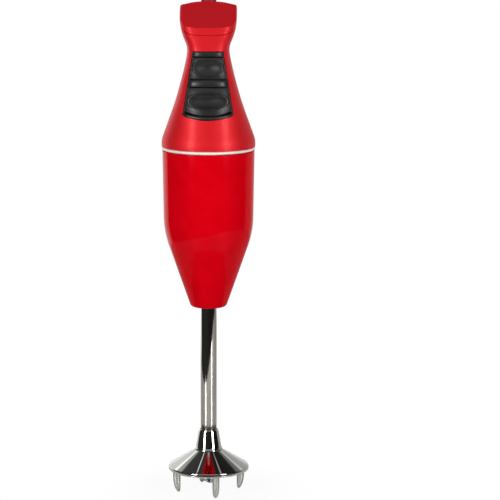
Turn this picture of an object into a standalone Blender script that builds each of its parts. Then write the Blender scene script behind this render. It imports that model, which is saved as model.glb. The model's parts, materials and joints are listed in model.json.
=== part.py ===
"""Immersion blender, standing upright on the four feet of its bell guard.

Frame: +Z up, origin on the floor under the drive axis, the buttons face -Y.
Sizes are in millimetres, and the helpers turn them to Blender's metres.
Every piece is one named object. Pieces on one moving body share one empty,
whose origin lies on that body's joint axis.
"""

import math

import bmesh
import bpy
from mathutils import Matrix, Vector

MM = 0.001
GAP = 0.3  # clearance between neighbouring pieces

# ---- driving dimensions -------------------------------------------------------------
SHAFT_R = 2.5
BORE_R = SHAFT_R + GAP
TUBE_R = 5.55
TUBE_WALL = 0.95
TUBE_BOTTOM, TUBE_TOP = 30.0, 146.0
WALL = 2.2  # moulded wall of both housings

NOSE_BOTTOM = 131.5  # underside of the lower housing
LOWER_TOP = 240.5
RING_TOP = 242.9
UPPER_BOTTOM = RING_TOP + GAP
BODY_R = 32.1  # largest radius, at the lower edge of the handle

RIM_R, RIM_BOTTOM, RIM_TOP = 27.9, 15.6, 18.0  # upright edge of the bell guard
FOOT_R = 22.6  # radius of the middle of a foot
FOOT_TURN = math.radians(13.6)  # the front foot stands this far round towards +X
FOOT_COUNT = 4

LID_FRONT = Vector((0, -17.0, 324.9))  # front edge of the slanted lid
LID_SLOPE = math.radians(32.6)
LID_DEPTH = 4.7  # height of the lid's front lip
RIDGE_Y, RIDGE_Z = 8.5, 341.2  # the ridge behind the lid
RIDGE_FLAT, RIDGE_BOW = 6.0, 0.24  # half-width of its straight middle, and how its sides turn forward
GLAND_Y, GLAND_R, GLAND_BORE = 17.0, 5.2, 3.2
GLAND_LOW = 326.8

PANEL_TOP, PANEL_BOTTOM, PANEL_ARC = 309.0, 263.7, 3.1
PANEL_PROUD = 0.4
KEY_BACK = 4.2  # depth of a key behind the handle's surface
UPPER_KEY = dict(low=290.6, high=305.2, dimple=298.1, half_w=9.8, half_h=5.0)
LOWER_KEY = dict(low=269.0, high=285.0, dimple=276.2, half_w=13.2, half_h=5.4)

SEGMENTS = 32  # round visible pieces
INNER_SEGMENTS = 20  # round hidden pieces

# ---- handle outline: height, then half-width, front depth and back depth ------------
HALF_WIDTH = [(246.3, 32.1), (249, 31.6), (253, 30.2), (261, 27.3), (273.5, 22.9),
              (286, 19.25), (298, 16.25), (306, 14.65), (309.5, 14.4), (313, 15.0),
              (318.5, 17.1), (323.5, 18.55), (329, 19.3), (344, 19.45)]
FRONT_DEPTH = [(246.3, 32.1), (249, 31.6), (253, 30.2), (261, 27.4), (273.5, 23.7),
               (286, 20.7), (298, 18.6), (309, 17.2), (320, 17.0), (344, 17.0)]
BACK_DEPTH = [(246.3, 32.1), (249, 31.6), (253, 30.2), (261, 27.4), (273.5, 23.7),
              (286, 20.8), (298, 18.8), (309, 18.1), (316, 19.3), (323, 22.2),
              (329, 24.3), (344, 25.0)]
FRONT_POWER = [(246.3, 2.0), (262, 2.2), (285, 3.0), (309, 4.0), (344, 4.2)]
BACK_POWER = [(246.3, 2.0), (270, 2.1), (309, 2.5), (344, 2.7)]
HANDLE_LEVELS = [UPPER_BOTTOM, 246.3, 247.6, 250, 254, 260, 267, 275, 284, 293, 301,
                 306, 309.5, 312.5, 316, 320, 324, 329, 336, 344]


def along(stations, z):
    """Value at height z on a smooth curve through the stations."""
    if z <= stations[0][0]:
        return stations[0][1]
    if z >= stations[-1][0]:
        return stations[-1][1]
    k = next(i for i in range(1, len(stations)) if z <= stations[i][0])

    def slope(i):
        a, b = stations[max(i - 1, 0)], stations[min(i + 1, len(stations) - 1)]
        return (b[1] - a[1]) / (b[0] - a[0])

    (z0, v0), (z1, v1) = stations[k - 1], stations[k]
    span = z1 - z0
    t = (z - z0) / span
    return ((2 * t**3 - 3 * t**2 + 1) * v0 + (t**3 - 2 * t**2 + t) * span * slope(k - 1)
            + (3 * t**2 - 2 * t**3) * v1 + (t**3 - t**2) * span * slope(k))


def handle_ring(z, inset=0.0, count=SEGMENTS):
    """Closed outline of the handle at height z, drawn in by inset."""
    width = along(HALF_WIDTH, z) - inset
    ring = []
    for i in range(count):
        turn = 2 * math.pi * i / count
        s, c = math.sin(turn), math.cos(turn)
        if c > 0:
            depth, power = -(along(FRONT_DEPTH, z) - inset), along(FRONT_POWER, z)
        else:
            depth, power = along(BACK_DEPTH, z) - inset, along(BACK_POWER, z)
        x = width * math.copysign(abs(s) ** (2 / power), s)
        ring.append(Vector((x, depth * abs(c) ** (2 / power), z)))
    return ring


def front_y(x, z):
    """Depth of the handle's front surface at (x, z); it is negative."""
    width, power = along(HALF_WIDTH, z), along(FRONT_POWER, z)
    share = min(abs(x) / width, 0.98)
    return -along(FRONT_DEPTH, z) * (1 - share**power) ** (1 / power)


def panel_half_width(z):
    """The switch panel widens in straight lines from its top to its bottom."""
    return 10.1 + (PANEL_TOP - z) * (16.9 - 10.1) / (PANEL_TOP - 267.5)


# ---- materials ----------------------------------------------------------------------
def material(name, colour, roughness, metallic=0.0):
    made = bpy.data.materials.new(name)
    made.use_nodes = True
    shader = made.node_tree.nodes["Principled BSDF"]
    shader.inputs["Base Color"].default_value = (*colour, 1)
    shader.inputs["Roughness"].default_value = roughness
    shader.inputs["Metallic"].default_value = metallic
    return made


# ---- mesh helpers -------------------------------------------------------------------
def new_object(name, bm, finish, sharp=35):
    bmesh.ops.remove_doubles(bm, verts=bm.verts, dist=0.004 * MM)
    bmesh.ops.recalc_face_normals(bm, faces=bm.faces)
    mesh = bpy.data.meshes.new(name)
    bm.to_mesh(mesh)
    bm.free()
    mesh.shade_smooth()
    mesh.set_sharp_from_angle(angle=math.radians(sharp))
    made = bpy.data.objects.new(name, mesh)
    bpy.context.scene.collection.objects.link(made)
    if finish:
        mesh.materials.append(finish)
    return made


def loop_of(bm, points):
    """A closed loop of edges through the points."""
    verts = [bm.verts.new(Vector(p) * MM) for p in points]
    return [bm.edges.new(pair) for pair in zip(verts, verts[1:] + verts[:1])]


def lofted(name, rings, finish):
    """A solid skinned through rings of points, with flat ends."""
    bm = bmesh.new()
    loops = [loop_of(bm, ring) for ring in rings]
    for low, high in zip(loops, loops[1:]):
        bmesh.ops.bridge_loops(bm, edges=low + high)
    for end in (loops[0], loops[-1]):
        bmesh.ops.contextual_create(bm, geom=end)
    return new_object(name, bm, finish)


def turned(name, outline, finish, steps=INNER_SEGMENTS):
    """A closed outline of (radius, height) spun round the drive axis."""
    bm = bmesh.new()
    verts = [bm.verts.new((r * MM, 0, z * MM)) for r, z in outline]
    edges = [bm.edges.new((a, b)) for a, b in zip(verts, verts[1:] + verts[:1])
             if a.co.x > 0 or b.co.x > 0]
    bmesh.ops.spin(bm, geom=verts + edges, cent=(0, 0, 0), axis=(0, 0, 1),
                   angle=2 * math.pi, steps=steps, use_merge=True)
    return new_object(name, bm, finish)


def ring(name, inner, outer, low, high, finish, steps=INNER_SEGMENTS):
    return turned(name, [(inner, low), (outer, low), (outer, high), (inner, high)], finish, steps)


def block(name, size, centre, finish, bevel=0.0, turn=0.0):
    """A box, turned about its own vertical axis, with its upright edges rounded off."""
    bm = bmesh.new()
    bmesh.ops.create_cube(bm, size=MM, matrix=Matrix.Diagonal((*size, 1)))
    if bevel:
        bmesh.ops.bevel(bm, geom=bm.edges, offset=bevel * MM, segments=1, affect="EDGES")
    bmesh.ops.rotate(bm, verts=bm.verts, cent=(0, 0, 0), matrix=Matrix.Rotation(turn, 3, "Z"))
    bmesh.ops.translate(bm, verts=bm.verts, vec=Vector(centre) * MM)
    return new_object(name, bm, finish)


def rod(name, radius, start, end, finish, steps=12, end_radius=None):
    """A round bar between two points; a second radius makes it a cone."""
    start, end = Vector(start), Vector(end)
    way = end - start
    place = Matrix.Translation((start + end) / 2 * MM) @ way.to_track_quat("Z", "Y").to_matrix().to_4x4()
    bm = bmesh.new()
    end_radius = radius if end_radius is None else end_radius
    bmesh.ops.create_cone(bm, cap_ends=True, segments=steps, radius1=radius * MM,
                          radius2=end_radius * MM, depth=way.length * MM, matrix=place)
    return new_object(name, bm, finish)


def ball(name, radii, centre, steps=20):
    bm = bmesh.new()
    place = Matrix.Translation(Vector(centre) * MM) @ Matrix.Diagonal((*[r * MM for r in radii], 1))
    bmesh.ops.create_uvsphere(bm, u_segments=steps, v_segments=steps // 2, radius=1, matrix=place)
    return new_object(name, bm, None)


def prism(name, outline, low, high, finish):
    """A flat outline of (x, y) raised from low to high."""
    bm = bmesh.new()
    base = bmesh.ops.contextual_create(bm, geom=loop_of(bm, [(x, y, low) for x, y in outline]))
    raised = bmesh.ops.extrude_face_region(bm, geom=base["faces"], use_keep_orig=True)
    tops = [v for v in raised["geom"] if isinstance(v, bmesh.types.BMVert)]
    bmesh.ops.translate(bm, verts=tops, vec=(0, 0, (high - low) * MM))
    return new_object(name, bm, finish)


def wire(name, points, radius, finish, sides=1):
    """A round wire along the points, with closed ends."""
    curve = bpy.data.curves.new(name, "CURVE")
    curve.dimensions = "3D"
    curve.bevel_depth = radius * MM
    curve.bevel_resolution = sides
    curve.use_fill_caps = True
    spline = curve.splines.new("POLY")
    spline.points.add(len(points) - 1)
    for spot, p in zip(spline.points, points):
        spot.co = (*(Vector(p) * MM), 1)
    made = bpy.data.objects.new(name, curve)
    bpy.context.scene.collection.objects.link(made)
    curve.materials.append(finish)
    return made


def helix(start, way, radius, turns, points_per_turn=8):
    """Points of a coil that starts at start and runs along way."""
    start, way = Vector(start), Vector(way)
    side = way.orthogonal().normalized()
    other = way.normalized().cross(side)
    count = int(turns * points_per_turn)
    return [start + way * (i / count)
            + radius * (side * math.cos(2 * math.pi * i / points_per_turn)
                        + other * math.sin(2 * math.pi * i / points_per_turn))
            for i in range(count + 1)]


def boolean(target, other, operation):
    step = target.modifiers.new(f"{operation.lower()} {other.name}", "BOOLEAN")
    step.operation, step.object = operation, other
    other.hide_render = True
    other.display_type = "WIRE"
    return target


def cut(target, *cutters):
    for cutter in cutters:
        boolean(target, cutter, "DIFFERENCE")
    return target


def weld(target, *others):
    for other in others:
        boolean(target, other, "UNION")
    return target


def sliced(obj, point, normal):
    """Cuts off what lies on the normal's side of a plane, and closes the cut."""
    bm = bmesh.new()
    bm.from_mesh(obj.data)
    bmesh.ops.bisect_plane(bm, geom=bm.verts[:] + bm.edges[:] + bm.faces[:], dist=1e-7,
                           plane_co=Vector(point) * MM, plane_no=normal, clear_outer=True)
    bmesh.ops.contextual_create(bm, geom=[e for e in bm.edges if e.is_boundary])
    bmesh.ops.recalc_face_normals(bm, faces=bm.faces)
    bm.to_mesh(obj.data)
    bm.free()
    obj.data.set_sharp_from_angle(angle=math.radians(35))
    return obj


def front_patch(name, finish, low, high, half_width, out, back, columns=8, rows=8):
    """A solid slab behind the handle's front: its sides run straight back along Y.

    low and high give the edge heights at x, half_width the edge at z,
    out how far the face stands off the handle at (u, v), back its depth."""
    bm = bmesh.new()
    grids = []
    for face in ("front", "back"):
        grid = []
        for j in range(rows + 1):
            row, v = [], j / rows
            for i in range(columns + 1):
                u = 2 * i / columns - 1
                z = low(u) + (high - low(u)) * v
                x = u * half_width(z)
                surface = front_y(x, z)
                y = surface - out(u, v) if face == "front" else back(u, z, surface)
                row.append(bm.verts.new(Vector((x, y, z)) * MM))
            grid.append(row)
        grids.append(grid)
    front, rear = grids
    for grid in grids:
        for j in range(rows):
            for i in range(columns):
                bm.faces.new((grid[j][i], grid[j][i + 1], grid[j + 1][i + 1], grid[j + 1][i]))
    for j in range(rows):
        for i in (0, columns):
            bm.faces.new((front[j][i], front[j + 1][i], rear[j + 1][i], rear[j][i]))
    for i in range(columns):
        for j in (0, rows):
            bm.faces.new((front[j][i], front[j][i + 1], rear[j][i + 1], rear[j][i]))
    return new_object(name, bm, finish)


# ---- red housings -------------------------------------------------------------------
def handle_blank(name, inset, finish=None):
    """The whole handle as a solid, with its slanted top and its rear slope."""
    levels = HANDLE_LEVELS
    if inset:
        levels = [UPPER_BOTTOM - 3, 245, 250, 256, 266, 280, 293, 303, 309, 314, 320, 327, 344]
    made = lofted(name, [handle_ring(z, inset, 24 if inset else SEGMENTS) for z in levels], finish)
    sliced(made, *lid_plane(inset))
    for lean in (0, -RIDGE_BOW, RIDGE_BOW):  # three planes make the bowed ridge
        side = math.copysign(RIDGE_FLAT, lean) if lean else 0
        sliced(made, (side, RIDGE_Y, RIDGE_Z - inset * 1.4), (lean, 1, 1))
    return made


def lid_plane(drop):
    """A point and the normal of the plane that lies drop below the lid's face."""
    return LID_FRONT - Vector((0, 0, drop)), Vector((0, -math.sin(LID_SLOPE), math.cos(LID_SLOPE)))


def panel_low(x_share):
    """Height of the switch panel's lower edge, an arc that hangs in the middle."""
    return PANEL_BOTTOM + PANEL_ARC * x_share**2


def upper_housing(red):
    made = handle_blank("upper_housing", 0, red)
    sliced(made, *lid_plane(LID_DEPTH + GAP))
    window = front_patch("window_cutter", None, lambda u: panel_low(u) - GAP, PANEL_TOP + GAP,
                         lambda z: panel_half_width(z) + GAP, lambda u, v: 5,
                         lambda u, z, y: y + 7)
    gland_hole = rod("gland_hole_cutter", GLAND_R + GAP, (0, GLAND_Y, GLAND_LOW - GAP), (0, GLAND_Y, 350),
                     None, 20)
    return cut(made, handle_blank("handle_hollow_cutter", WALL), window, gland_hole)


def label_lid(red):
    made = handle_blank("label_lid", 0, red)
    point, normal = lid_plane(LID_DEPTH)
    sliced(made, point, -normal)
    pocket = handle_blank("lid_pocket_cutter", 2.6)
    sliced(pocket, lid_plane(2.0)[0], normal)
    cut(made, pocket)
    for side in (-1, 1):
        for k in (-1, 0, 1):
            x = side * 10.6 + 2.5 * k
            cut(made, block(f"vent_cutter_{side}_{k}", (1.5, 1.4, 30), (x, 5.2, 336), None))
    return made


def seal_ring(cream):
    flange, sleeve = 31.95, 29.1
    low, bore = LOWER_TOP + GAP, 27.4
    return turned("seal_ring", [(bore, low - 4.8), (sleeve, low - 4.8), (sleeve, low), (flange - 0.4, low),
                                (flange, low + 0.5), (flange, RING_TOP - 0.5), (flange - 0.4, RING_TOP),
                                (sleeve, RING_TOP), (sleeve, RING_TOP + 3.8), (bore, RING_TOP + 3.8)],
                  cream, SEGMENTS)


def body_wall(inset=0.0):
    """Side of the lower housing from its nose to its top: cone, blend arc, near-upright wall."""
    cone, wall = math.radians(19.9), math.radians(0.95)
    nose_r, blend_z, top_r = 12.84, 173.5, 31.7
    start = Vector((nose_r, NOSE_BOTTOM + 2.6))
    blend = start + Vector((math.tan(cone), 1)) * (blend_z - start.y)
    blend_r = 64.0
    steps = 4
    points = [start]
    for k in range(steps + 1):
        lean = cone + (wall - cone) * k / steps
        points.append(Vector((blend.x + blend_r * (math.cos(lean) - math.cos(cone)),
                              blend.y + blend_r * (math.sin(cone) - math.sin(lean)))))
    points.append(Vector((top_r, LOWER_TOP)))
    return [(p.x - inset / math.cos(cone if i < 2 else wall), p.y) for i, p in enumerate(points)]


def lower_housing(red):
    hole = TUBE_R + GAP
    corner_r = 2.6
    corner = [(10.24 + corner_r * math.sin(a), NOSE_BOTTOM + corner_r * (1 - math.cos(a)))
              for a in (0, math.pi / 6, math.pi / 3)]
    inner = body_wall(WALL)
    floor_z = NOSE_BOTTOM + 3.4
    outline = ([(hole, NOSE_BOTTOM)] + corner + body_wall()
               + list(reversed(inner[1:])) + [(inner[0][0] + 0.3, floor_z), (hole, floor_z)])
    return turned("lower_housing", outline, red, SEGMENTS)


def cord_gland(rubber):
    """Grommet of the cord inlet, standing upright in the rear slope."""
    outline = [(GLAND_BORE, GLAND_LOW), (GLAND_R, GLAND_LOW), (GLAND_R, 340.2), (GLAND_R - 0.7, 342.4),
               (GLAND_BORE, 342.4)]
    made = turned("cord_gland", outline, rubber, 16)
    made.location = (0, GLAND_Y * MM, 0)
    return made


# ---- switch -------------------------------------------------------------------------
def key_low(key):
    """Lower edge of a key; the lower key's follows the panel's arc."""
    arc = PANEL_ARC * 0.8 if key is LOWER_KEY else 0.0
    return lambda u: key["low"] - arc * (1 - u * u)


def key_patch(name, key, finish, extra=0.0, hump=1.7):
    low = key_low(key)
    flat_back = front_y(0, key["dimple"]) + KEY_BACK

    def crowned(u, v):
        return hump * math.sin(math.pi * v) ** 0.7 - 0.2

    return front_patch(name, finish, lambda u: low(u) - extra, key["high"] + extra,
                       lambda z: panel_half_width(z) - 1.1 + extra,
                       (lambda u, v: 6) if extra else crowned,
                       lambda u, z, y: -3.0 if extra else flat_back, 8, 2 if extra else 6)


def switch_frame(black):
    """Black surround: strip on top, bar between the keys, lip below, and two screw posts."""
    made = front_patch("switch_frame", black, panel_low, PANEL_TOP, panel_half_width,
                       lambda u, v: PANEL_PROUD, lambda u, z, y: y + 3.4, 8, 8)
    posts = [block(f"post_{side}", (4.2, 13.8, 3.6), (side * 8.4, -11.5, 288), None) for side in (-1, 1)]
    weld(made, *posts)
    cut(made, key_patch("upper_key_cutter", UPPER_KEY, None, GAP),
        key_patch("lower_key_cutter", LOWER_KEY, None, GAP))
    for side in (-1, 1):
        cut(made, rod(f"post_bore_{side}", 1.3, (side * 8.4, -9.5, 288), (side * 8.4, 0, 288), None, 8))
    return made


def key_cap(name, key, black):
    """A key: a humped block with an oval finger hollow."""
    made = key_patch(name, key, black)
    z = key["dimple"]
    crest = front_y(0, z) - 1.5
    depth, reach = 1.5, 3.6
    hollow = ball(f"{name}_hollow_cutter", (key["half_w"], reach, key["half_h"]),
                  (0, crest - reach + depth, z))
    return cut(made, hollow)


def microswitch(name, z, black):
    made = block(name, (12.8, 5.6, 9.6), (0, -7.7, z), black, 0.4)
    return cut(made, rod(f"{name}_bore_cutter", 1.9, (0, -11, z), (0, -7.6, z), None, 10))


def plunger_start(z):
    """Just behind the flat back of the key whose hollow is at height z."""
    return front_y(0, z) + KEY_BACK + GAP


def plunger(name, z, white):
    return rod(name, 1.5, (0, plunger_start(z), z), (0, -9.4, z), white, 10)


def key_spring(name, z, steel):
    start = plunger_start(z) + 0.3
    return wire(name, helix((0, start, z), (0, -10.5 - 0.6 - start, 0), 2.7, 3), 0.3, steel)


def control_board(green):
    made = block("control_board", (22, 1.6, 48), (0, -3.6, 290), green)
    for side in (-1, 1):
        cut(made, rod(f"board_hole_{side}", 1.4, (side * 8.4, -6, 288), (side * 8.4, 0, 288), None, 8))
    return made


def board_screw(name, side, steel):
    shank = rod(name, 1.0, (side * 8.4, -9.0, 288), (side * 8.4, -1.9, 288), steel, 8)
    head = rod(f"{name}_head", 2.0, (side * 8.4, -2.4, 288), (side * 8.4, -1.0, 288), None, 8)
    return weld(shank, head)


# ---- motor --------------------------------------------------------------------------
STACK_LOW, STACK_HIGH = 188.0, 222.0
STATOR_R, YOKE_R, POLE_R = 26.5, 22.5, 13.2
BOLT_SPOT = Vector((17.3, 17.3, 0))  # both motor bolts run through the yoke, at opposite corners


def stator_core(steel):
    """Ring of laminations with two poles facing the armature."""
    made = ring("stator_core", YOKE_R, STATOR_R, STACK_LOW, STACK_HIGH, steel, 28)
    spread = math.radians(52)
    for side in (-1, 1):
        arc = [spread * k / 4 for k in range(-4, 5)]
        shoe = ([(side * POLE_R * math.cos(a), POLE_R * math.sin(a)) for a in arc]
                + [(side * 15.6 * math.cos(a), 15.6 * math.sin(a)) for a in reversed(arc)])
        weld(made, prism(f"shoe_{side}", shoe, STACK_LOW, STACK_HIGH, None))
        weld(made, block(f"neck_{side}", (10.5, 10, STACK_HIGH - STACK_LOW),
                         (side * 19.4, 0, (STACK_LOW + STACK_HIGH) / 2), None))
        cut(made, bolt_hole(f"yoke_hole_{side}", side))
    return made


def bolt_hole(name, side):
    spot = side * BOLT_SPOT
    return rod(name, 1.3, spot + Vector((0, 0, 180)), spot + Vector((0, 0, 230)), None, 8)


def field_coil(name, side, copper):
    """Loop of winding round one pole's neck."""
    middle = (STACK_LOW + STACK_HIGH) / 2
    made = block(name, (3.4, 21.4, STACK_HIGH - STACK_LOW + 10), (side * 17.7, 0, middle), copper, 1.2)
    return cut(made, block(f"{name}_window", (8, 10.6, STACK_HIGH - STACK_LOW + 0.8),
                           (side * 17.7, 0, middle), None))


def armature_core(steel):
    """Eleven T-shaped teeth round the shaft, open for it in the middle."""
    teeth, outer, neck = 11, 12.6, 6.4
    outline = []
    for k in range(teeth):
        mid = 2 * math.pi * k / teeth
        for share, r in ((-0.42, outer), (0, outer), (0.42, outer), (0.42, 10.8), (0.2, 10.2), (0.2, neck),
                         (0.8, neck), (0.8, 10.2), (0.58, 10.8)):
            a = mid + share * 2 * math.pi / teeth
            outline.append((r * math.cos(a), r * math.sin(a)))
    made = prism("armature_core", outline, STACK_LOW + 1, STACK_HIGH - 1, steel)
    return cut(made, rod("armature_bore_cutter", BORE_R + 0.05, (0, 0, 180), (0, 0, 230), None, 16))


def armature_winding(name, low, high, copper):
    """End turns of the armature, a rounded ring outside the core's end."""
    r0, r1, round_off = 3.2, 10.9, 1.6
    return turned(name, [(r0, low), (r1 - round_off, low), (r1, low + round_off), (r1, high - round_off),
                         (r1 - round_off, high), (r0, high)], copper)


def commutator(copper):
    bars = 11
    outline = []
    for k in range(bars):
        for share, r in ((-0.42, 7.0), (0.42, 7.0), (0.46, 6.3), (0.54, 6.3)):
            a = (k + share) * 2 * math.pi / bars
            outline.append((r * math.cos(a), r * math.sin(a)))
    made = prism("commutator", outline, 231, 241, copper)
    return cut(made, rod("commutator_bore_cutter", BORE_R + 0.05, (0, 0, 225), (0, 0, 245), None, 16))


def lower_bracket(aluminium):
    """Dished end shield that carries the stator and the lower bush."""
    hub = 4.6
    return turned("motor_lower_bracket", [
        (hub, 166), (8, 166), (9.5, 171), (24.2, 180.3), (26.9, 184.6), (26.9, 187.6), (23.6, 187.6),
        (23.6, 184.4), (21.8, 182), (8.2, 173.6), (8, 176), (hub, 176)], aluminium, 24)


def upper_bracket(grey):
    """Bridge over the commutator: a ring on the stator, two legs, and the upper bush's hub."""
    hub = 4.6
    made = ring("motor_upper_bracket", YOKE_R, 28.6, 222.4, 226.0, grey, 24)
    cap = turned("bridge_cap", [(hub, 244), (11, 244), (11, 247), (7.5, 250.5), (hub, 250.5)], None, 20)
    bar = block("bridge_bar", (9, 50, 3), (0, 0, 245.6), None)
    hole = rod("bridge_bore_cutter", hub, (0, 0, 235), (0, 0, 256), None, 20)
    legs = [block(f"bridge_leg_{side}", (9, 3, 23.4), (0, side * 23.5, 235.3), None) for side in (-1, 1)]
    return cut(weld(made, bar, *legs, cap), hole, *[bolt_hole(f"bridge_hole_{k}", k) for k in (-1, 1)])


def bush(name, low, high, bronze, outer=4.3):
    return ring(name, BORE_R, outer, low, high, bronze)


BRUSH_Z = 236.0


def brush_holder(name, side, brass):
    """Square brass box that guides a brush and closes behind its spring."""
    made = block(name, (15.0, 6.4, 8.2), (side * 16.1, 0, BRUSH_Z), brass)
    return cut(made, block(f"{name}_bore", (14.5, 4.8, 6.6), (side * 15.1, 0, BRUSH_Z), None))


def carbon_brush(name, side, carbon):
    return block(name, (9.0, 4.2, 6.0), (side * 12.0, 0, BRUSH_Z), carbon, 0.3)


def brush_spring(name, side, steel):
    return wire(name, helix((side * 17.1, 0, BRUSH_Z), (side * 4.6, 0, 0), 1.7, 4), 0.25, steel)


def motor_bolt(name, side, steel):
    """Long bolt that ties the upper bracket to the stator."""
    spot = side * BOLT_SPOT
    shank = rod(name, 1.0, spot + Vector((0, 0, 188.5)), spot + Vector((0, 0, 226.8)), steel, 8)
    head = rod(f"{name}_head", 2.0, spot + Vector((0, 0, 226.3)), spot + Vector((0, 0, 228)), None, 8)
    return weld(shank, head)


# ---- drive --------------------------------------------------------------------------
PIN_Z, PIN_R = 20.8, 0.75
SHAFT_BOTTOM = 9.7


def drive_shaft(steel):
    made = turned("drive_shaft", [(0, SHAFT_BOTTOM), (SHAFT_R - 0.5, SHAFT_BOTTOM),
                                  (SHAFT_R, SHAFT_BOTTOM + 0.6), (SHAFT_R, 153.4), (0, 153.4)], steel, 16)
    return cut(made, rod("pin_hole_cutter", PIN_R + 0.25, (-5, 0, PIN_Z), (5, 0, PIN_Z), None, 8))


def drive_pin(steel):
    return rod("drive_pin", PIN_R, (-3.9, 0, PIN_Z), (3.9, 0, PIN_Z), steel, 8)


# ---- bell guard ---------------------------------------------------------------------
BELL_HUB_R, BELL_TOP = 9.7, 29.6


def bell_collar(chrome):
    bore = TUBE_R + GAP
    low = BELL_TOP + GAP
    return turned("bell_collar", [(bore, low), (9.6, low), (9.3, low + 0.7), (8.9, low + 1.8), (7.2, 42.6),
                                  (6.6, 44.2), (bore, 44.2)], chrome, SEGMENTS)


def bell_guard(chrome):
    """Domed skirt with an edge band, a hub that holds the seal, and four feet."""
    bore, seal_seat = BORE_R + 0.2, 5.4
    outer = [(RIM_R - 0.3, RIM_BOTTOM), (RIM_R, RIM_BOTTOM + 0.3), (RIM_R, RIM_TOP),
             (RIM_R - 0.45, RIM_TOP + 0.55), (BELL_HUB_R, BELL_TOP)]
    inner = [(seal_seat, BELL_TOP), (seal_seat, 26.2), (bore, 26.2), (bore, 24.4), (8.4, 24.4), (10.2, 26.8),
             (15.8, 23.4), (20.0, 20.8), (24.0, 18.3), (25.9, 16.9), (26.4, RIM_BOTTOM)]
    made = turned("bell_guard", outer + inner, chrome, SEGMENTS)
    # centre radius, radial half-depth and tangential half-width of a foot at each height
    stations = [(FOOT_R, 2.75, 2.4, 19.0), (FOOT_R, 2.75, 2.4, 13), (FOOT_R - 0.1, 2.7, 2.35, 8),
                (FOOT_R - 0.4, 2.35, 2.2, 4.4), (FOOT_R - 0.8, 1.75, 1.8, 1.9),
                (FOOT_R - 1.1, 1.2, 1.2, 0.6), (FOOT_R - 1.15, 0.8, 0.8, 0.0)]
    for k in range(FOOT_COUNT):
        turn = Matrix.Rotation(FOOT_TURN + k * 2 * math.pi / FOOT_COUNT, 3, "Z")
        rings = [[turn @ Vector((wide * math.cos(a), -middle + deep * math.sin(a), z))
                  for a in (2 * math.pi * i / 10 for i in range(10))]
                 for middle, deep, wide, z in stations]
        weld(made, lofted(f"foot_{k}", rings, None))
    return made


def shaft_seal(rubber):
    return turned("shaft_seal", [(BORE_R, 26.7), (5.1, 26.7), (5.1, 29.4), (4.0, 29.4), (3.4, 28.0),
                                 (BORE_R, 28.0)], rubber)


# ---- blade --------------------------------------------------------------------------
HUB_R, HUB_BOTTOM, HUB_TOP = 4.1, 7.0, 23.6


def blade_hub(steel):
    """Slotted socket that slides up over the shaft; the slot takes the drive pin."""
    made = turned("blade_hub", [(0, HUB_BOTTOM), (HUB_R - 0.8, HUB_BOTTOM), (HUB_R, HUB_BOTTOM + 0.8),
                                (HUB_R, HUB_TOP), (BORE_R, HUB_TOP), (BORE_R, SHAFT_BOTTOM - 0.4),
                                (0, SHAFT_BOTTOM - 0.4)], steel, 20)
    return cut(made, block("hub_slot_cutter", (12, 2.2, 16), (0, 0, 20.4), None))


def blade_wing(name, turn, z, thick, stations, steel):
    """A pressed strip with a hole for the hub and two arms that bend and taper.

    stations are (reach, rise, half-width) from the hub outwards."""
    rings = []
    for side in (-1, 1):
        order = reversed(stations) if side < 0 else stations
        for reach, rise, half in order:
            rings.append([(side * reach, -half, z + rise), (side * reach, half, z + rise),
                          (side * reach, half, z + rise + thick), (side * reach, -half, z + rise + thick)])
    made = lofted(name, rings, steel)
    made.data.transform(Matrix.Rotation(turn, 4, "Z"))
    weld(made, rod(f"{name}_washer", 6.3, (0, 0, z), (0, 0, z + thick), None, 20))
    return cut(made, rod(f"{name}_hole_cutter", HUB_R + GAP, (0, 0, 0), (0, 0, 14), None, 20))


def place_on(parent_name, spot, pieces):
    """An empty on the joint axis carries the pieces, which keep their place."""
    empty = bpy.data.objects.new(parent_name, None)
    empty.location = Vector(spot) * MM
    bpy.context.scene.collection.objects.link(empty)
    for piece in pieces:
        piece.parent = empty
        piece.matrix_parent_inverse = Matrix.Translation(-empty.location)


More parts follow.
